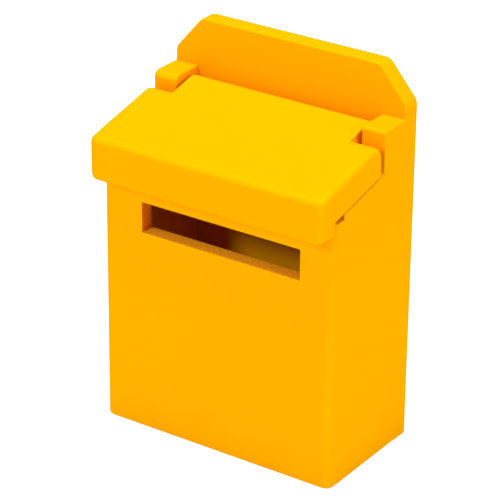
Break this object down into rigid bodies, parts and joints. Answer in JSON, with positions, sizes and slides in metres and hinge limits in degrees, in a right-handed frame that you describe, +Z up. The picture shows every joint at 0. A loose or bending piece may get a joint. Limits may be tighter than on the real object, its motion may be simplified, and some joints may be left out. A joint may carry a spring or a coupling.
{
  "type": "wall letterbox",
  "caption": "Small painted board letterbox with a letter slot, a slanted lid hinged between two ears, and a taller back board that fixes to a wall.",
  "frame": {"origin": "middle of the bounding box's underside, on the plane that the box stands on", "axes": "+Z up, -Y out of the letter slot, +Y towards the wall, +X to the right seen from the front"},
  "size_m": [0.19, 0.1174, 0.2812],
  "materials": {
    "orange_paint": "board sprayed with satin to gloss orange-yellow paint",
    "beech": "bare beech, sanded",
    "zinc_steel": "zinc plated steel, satin"
  },
  "bodies": {
    "box": {"back_board": "orange_paint", "front_panel": "orange_paint", "bottom_panel": "orange_paint", "left_side_panel": "orange_paint", "right_side_panel": "orange_paint", "left_hinge_pin": "zinc_steel", "right_hinge_pin": "zinc_steel", "front_dowel_left_1": "beech", "front_dowel_left_2": "beech", "front_dowel_left_3": "beech", "front_dowel_right_1": "beech", "front_dowel_right_2": "beech", "front_dowel_right_3": "beech", "bottom_dowel_left_1": "beech", "bottom_dowel_left_2": "beech", "bottom_dowel_right_1": "beech", "bottom_dowel_right_2": "beech", "back_screw_left_1": "zinc_steel", "back_screw_left_2": "zinc_steel", "back_screw_left_3": "zinc_steel", "back_screw_right_1": "zinc_steel", "back_screw_right_2": "zinc_steel", "back_screw_right_3": "zinc_steel", "bottom_screw_left": "zinc_steel", "bottom_screw_right": "zinc_steel"},
    "lid": {"lid_board": "orange_paint", "lid_front_lip": "orange_paint", "lip_dowel_1": "beech", "lip_dowel_2": "beech", "lip_dowel_3": "beech"}
  },
  "joints": [
    {"name": "lid_hinge", "type": "hinge", "parent": "box", "child": "lid", "pos_m": [0, 0.0307, 0.23567], "axis": [-1, 0, 0], "range_deg": [0, 106]}
  ]
}
